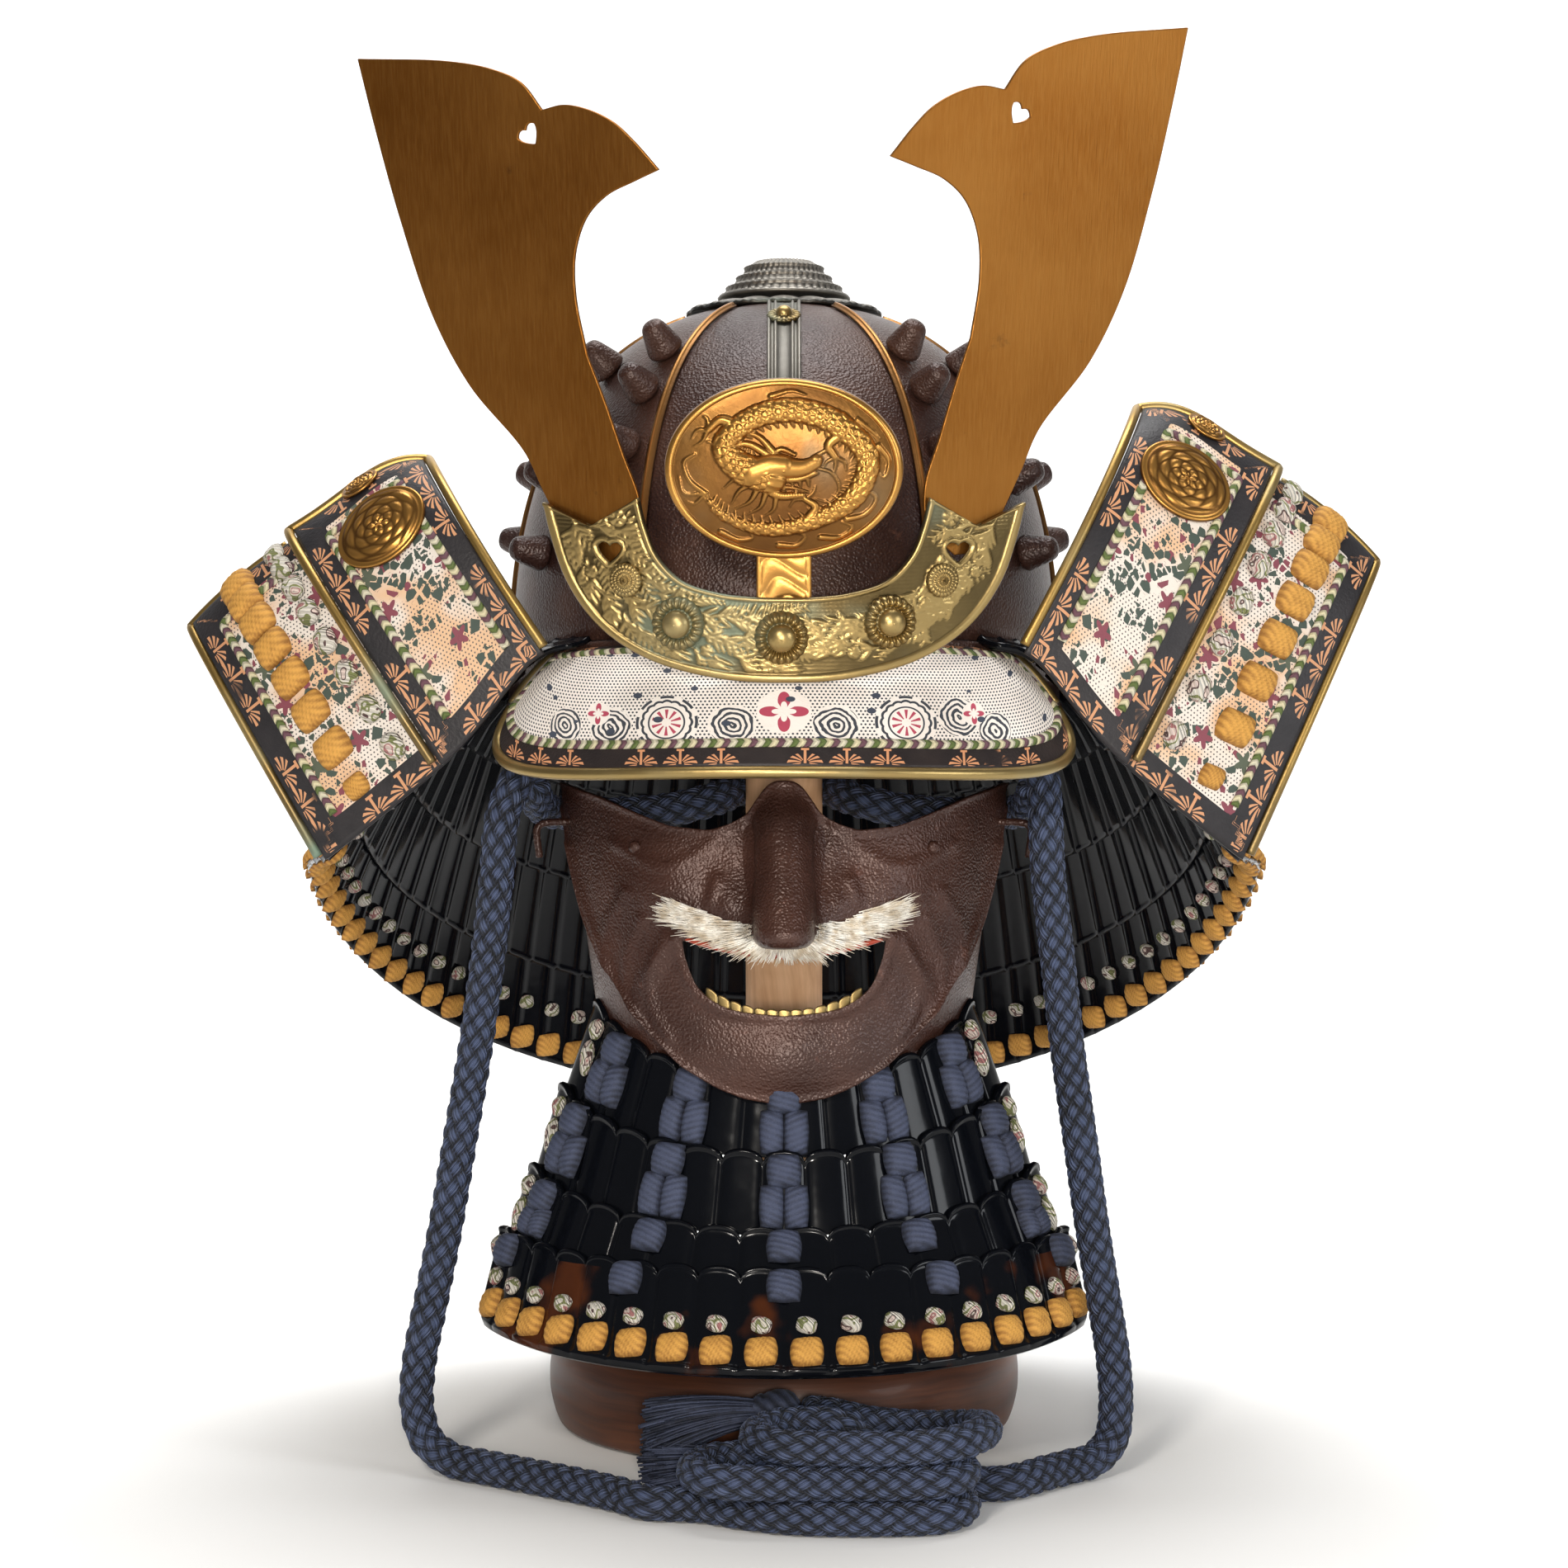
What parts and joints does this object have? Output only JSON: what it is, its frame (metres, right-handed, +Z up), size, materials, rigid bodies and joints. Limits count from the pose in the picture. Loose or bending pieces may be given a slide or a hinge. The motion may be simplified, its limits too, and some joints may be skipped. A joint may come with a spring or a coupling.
{
  "type": "kabuto helmet with face mask and throat guard on a wooden stand",
  "caption": "Japanese kabuto helmet with a riveted bowl, brass horns and crest, turned-back wings, lamellar neck guard, half mask and cords, on a turned wooden stand.",
  "frame": {"origin": "centre of the foot of the wooden stand, on the surface that it stands on", "axes": "+Z up, -Y to the front where the mask looks, +X to the right as seen from the front"},
  "size_m": [0.4825, 0.3732, 0.5705],
  "materials": {
    "russet_iron": "satin, dark russet-brown lacquered iron with a leathery skin",
    "antique_brass": "aged yellow brass, darker and greener in its recesses",
    "horn_brass": "brushed brown-gold brass, satin",
    "dark_bronze": "grey-brown patinated bronze",
    "printed_leather": "pale deerskin printed with flowers, leaves and dots",
    "black_lacquer": "glossy black lacquer",
    "dark_wood": "red-brown varnished turned wood",
    "pale_wood": "light brown turned wood",
    "navy_cord": "navy blue silk round braid",
    "cream_bristle": "cream bristle"
  },
  "bodies": {
    "root": {"plate_front": "russet_iron", "plate_rear": "russet_iron", "waist_band": "russet_iron", "mask": "russet_iron", "plate_front_left": "russet_iron", "plate_rear_left": "russet_iron", "hook_left": "russet_iron", "ridge_front_left": "antique_brass", "ridge_side_left": "antique_brass", "ridge_rear_left": "antique_brass", "wing_rim_inner_left": "antique_brass", "wing_rim_outer_left": "antique_brass", "wing_crest_left": "antique_brass", "boss_left": "antique_brass", "rosette_left": "antique_brass", "horn_left": "horn_brass", "wing_inner_left": "printed_leather", "wing_outer_left": "printed_leather", "cord_left": "navy_cord", "plate_front_right": "russet_iron", "plate_rear_right": "russet_iron", "hook_right": "russet_iron", "ridge_front_right": "antique_brass", "ridge_side_right": "antique_brass", "ridge_rear_right": "antique_brass", "wing_rim_inner_right": "antique_brass", "wing_rim_outer_right": "antique_brass", "wing_crest_right": "antique_brass", "boss_right": "antique_brass", "rosette_right": "antique_brass", "horn_right": "horn_brass", "wing_inner_right": "printed_leather", "wing_outer_right": "printed_leather", "cord_right": "navy_cord", "boss_middle": "antique_brass", "holder": "antique_brass", "crest_disc": "antique_brass", "crest_stem": "antique_brass", "visor_rim": "antique_brass", "mask_teeth": "antique_brass", "crown_ring": "dark_bronze", "crown_cone": "dark_bronze", "front_strip": "dark_bronze", "visor": "printed_leather", "neck_lame_1": "black_lacquer", "neck_lame_2": "black_lacquer", "neck_lame_3": "black_lacquer", "neck_lame_4": "black_lacquer", "throat_lame_1": "black_lacquer", "throat_lame_2": "black_lacquer", "throat_lame_3": "black_lacquer", "throat_lame_4": "black_lacquer", "stand_base": "dark_wood", "stand_post": "pale_wood", "cord_tie": "navy_cord", "cord_hank": "navy_cord", "tassel_lower": "navy_cord", "tassel_upper": "navy_cord", "moustache": "cream_bristle"}
  },
  "joints": []
}
